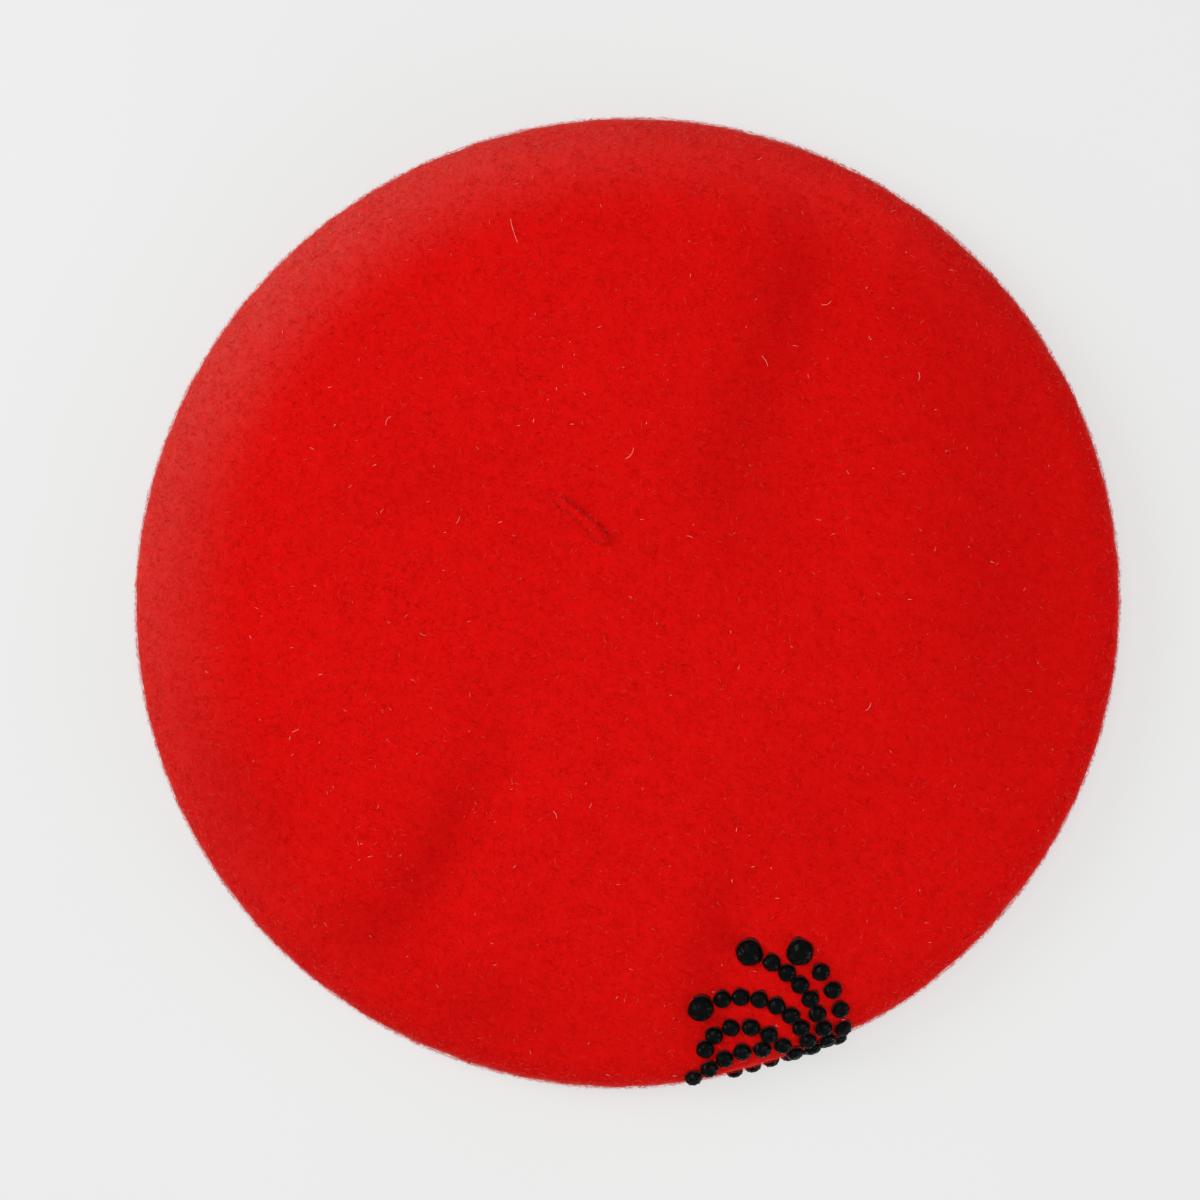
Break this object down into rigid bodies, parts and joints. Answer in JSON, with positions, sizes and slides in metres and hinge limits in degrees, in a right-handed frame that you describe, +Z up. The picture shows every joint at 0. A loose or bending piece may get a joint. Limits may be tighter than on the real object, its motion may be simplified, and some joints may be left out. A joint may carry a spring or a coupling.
{
  "type": "wool felt beret",
  "caption": "Round red wool-felt beret with a short stalk, a grosgrain sweatband and a fan of black flat-backed stones over the rim.",
  "frame": {"origin": "on the table under the middle of the hat's bounding box", "axes": "+Z up through the crown, +Y to the back of the hat, +X to the hat's left as it is worn"},
  "size_m": [0.28, 0.2759, 0.0358],
  "materials": {
    "felt": "red wool felt with a short brushed nap",
    "stalk_felt": "red felted yarn",
    "grosgrain": "black ribbed grosgrain ribbon",
    "band_thread": "black twisted sewing thread",
    "label_tape": "white woven satin tape, blank",
    "jet_stone": "polished jet black, faceted",
    "clear_glue": "hardened clear glue"
  },
  "bodies": {
    "root": {"felt_body": "felt", "stalk_knot": "felt", "sweatband": "grosgrain", "sweatband_stitching": "band_thread", "band_seam_stitching": "band_thread", "tip_stones": "jet_stone", "arc_1_stones": "jet_stone", "arc_2_stones": "jet_stone", "arc_3_stones": "jet_stone", "arc_4_stones": "jet_stone", "arc_5_stones": "jet_stone", "arc_6_stones": "jet_stone", "arc_7_stones": "jet_stone", "tip_glue": "clear_glue", "arc_1_glue": "clear_glue", "arc_2_glue": "clear_glue", "arc_3_glue": "clear_glue", "arc_4_glue": "clear_glue", "arc_5_glue": "clear_glue", "arc_6_glue": "clear_glue", "arc_7_glue": "clear_glue"},
    "stalk": {"crown_stalk": "stalk_felt"},
    "label": {"care_label": "label_tape", "label_stitching": "band_thread"}
  },
  "joints": [
    {"name": "stalk_bend", "type": "hinge", "parent": "root", "child": "stalk", "pos_m": [-0.0074, 0.018, 0.03395], "axis": [0.6691, 0.7431, 0], "range_deg": [0, 85]},
    {"name": "label_flip", "type": "hinge", "parent": "root", "child": "label", "pos_m": [0, 0.0853, 0.0208], "axis": [1, 0, 0], "range_deg": [0, 80]}
  ]
}
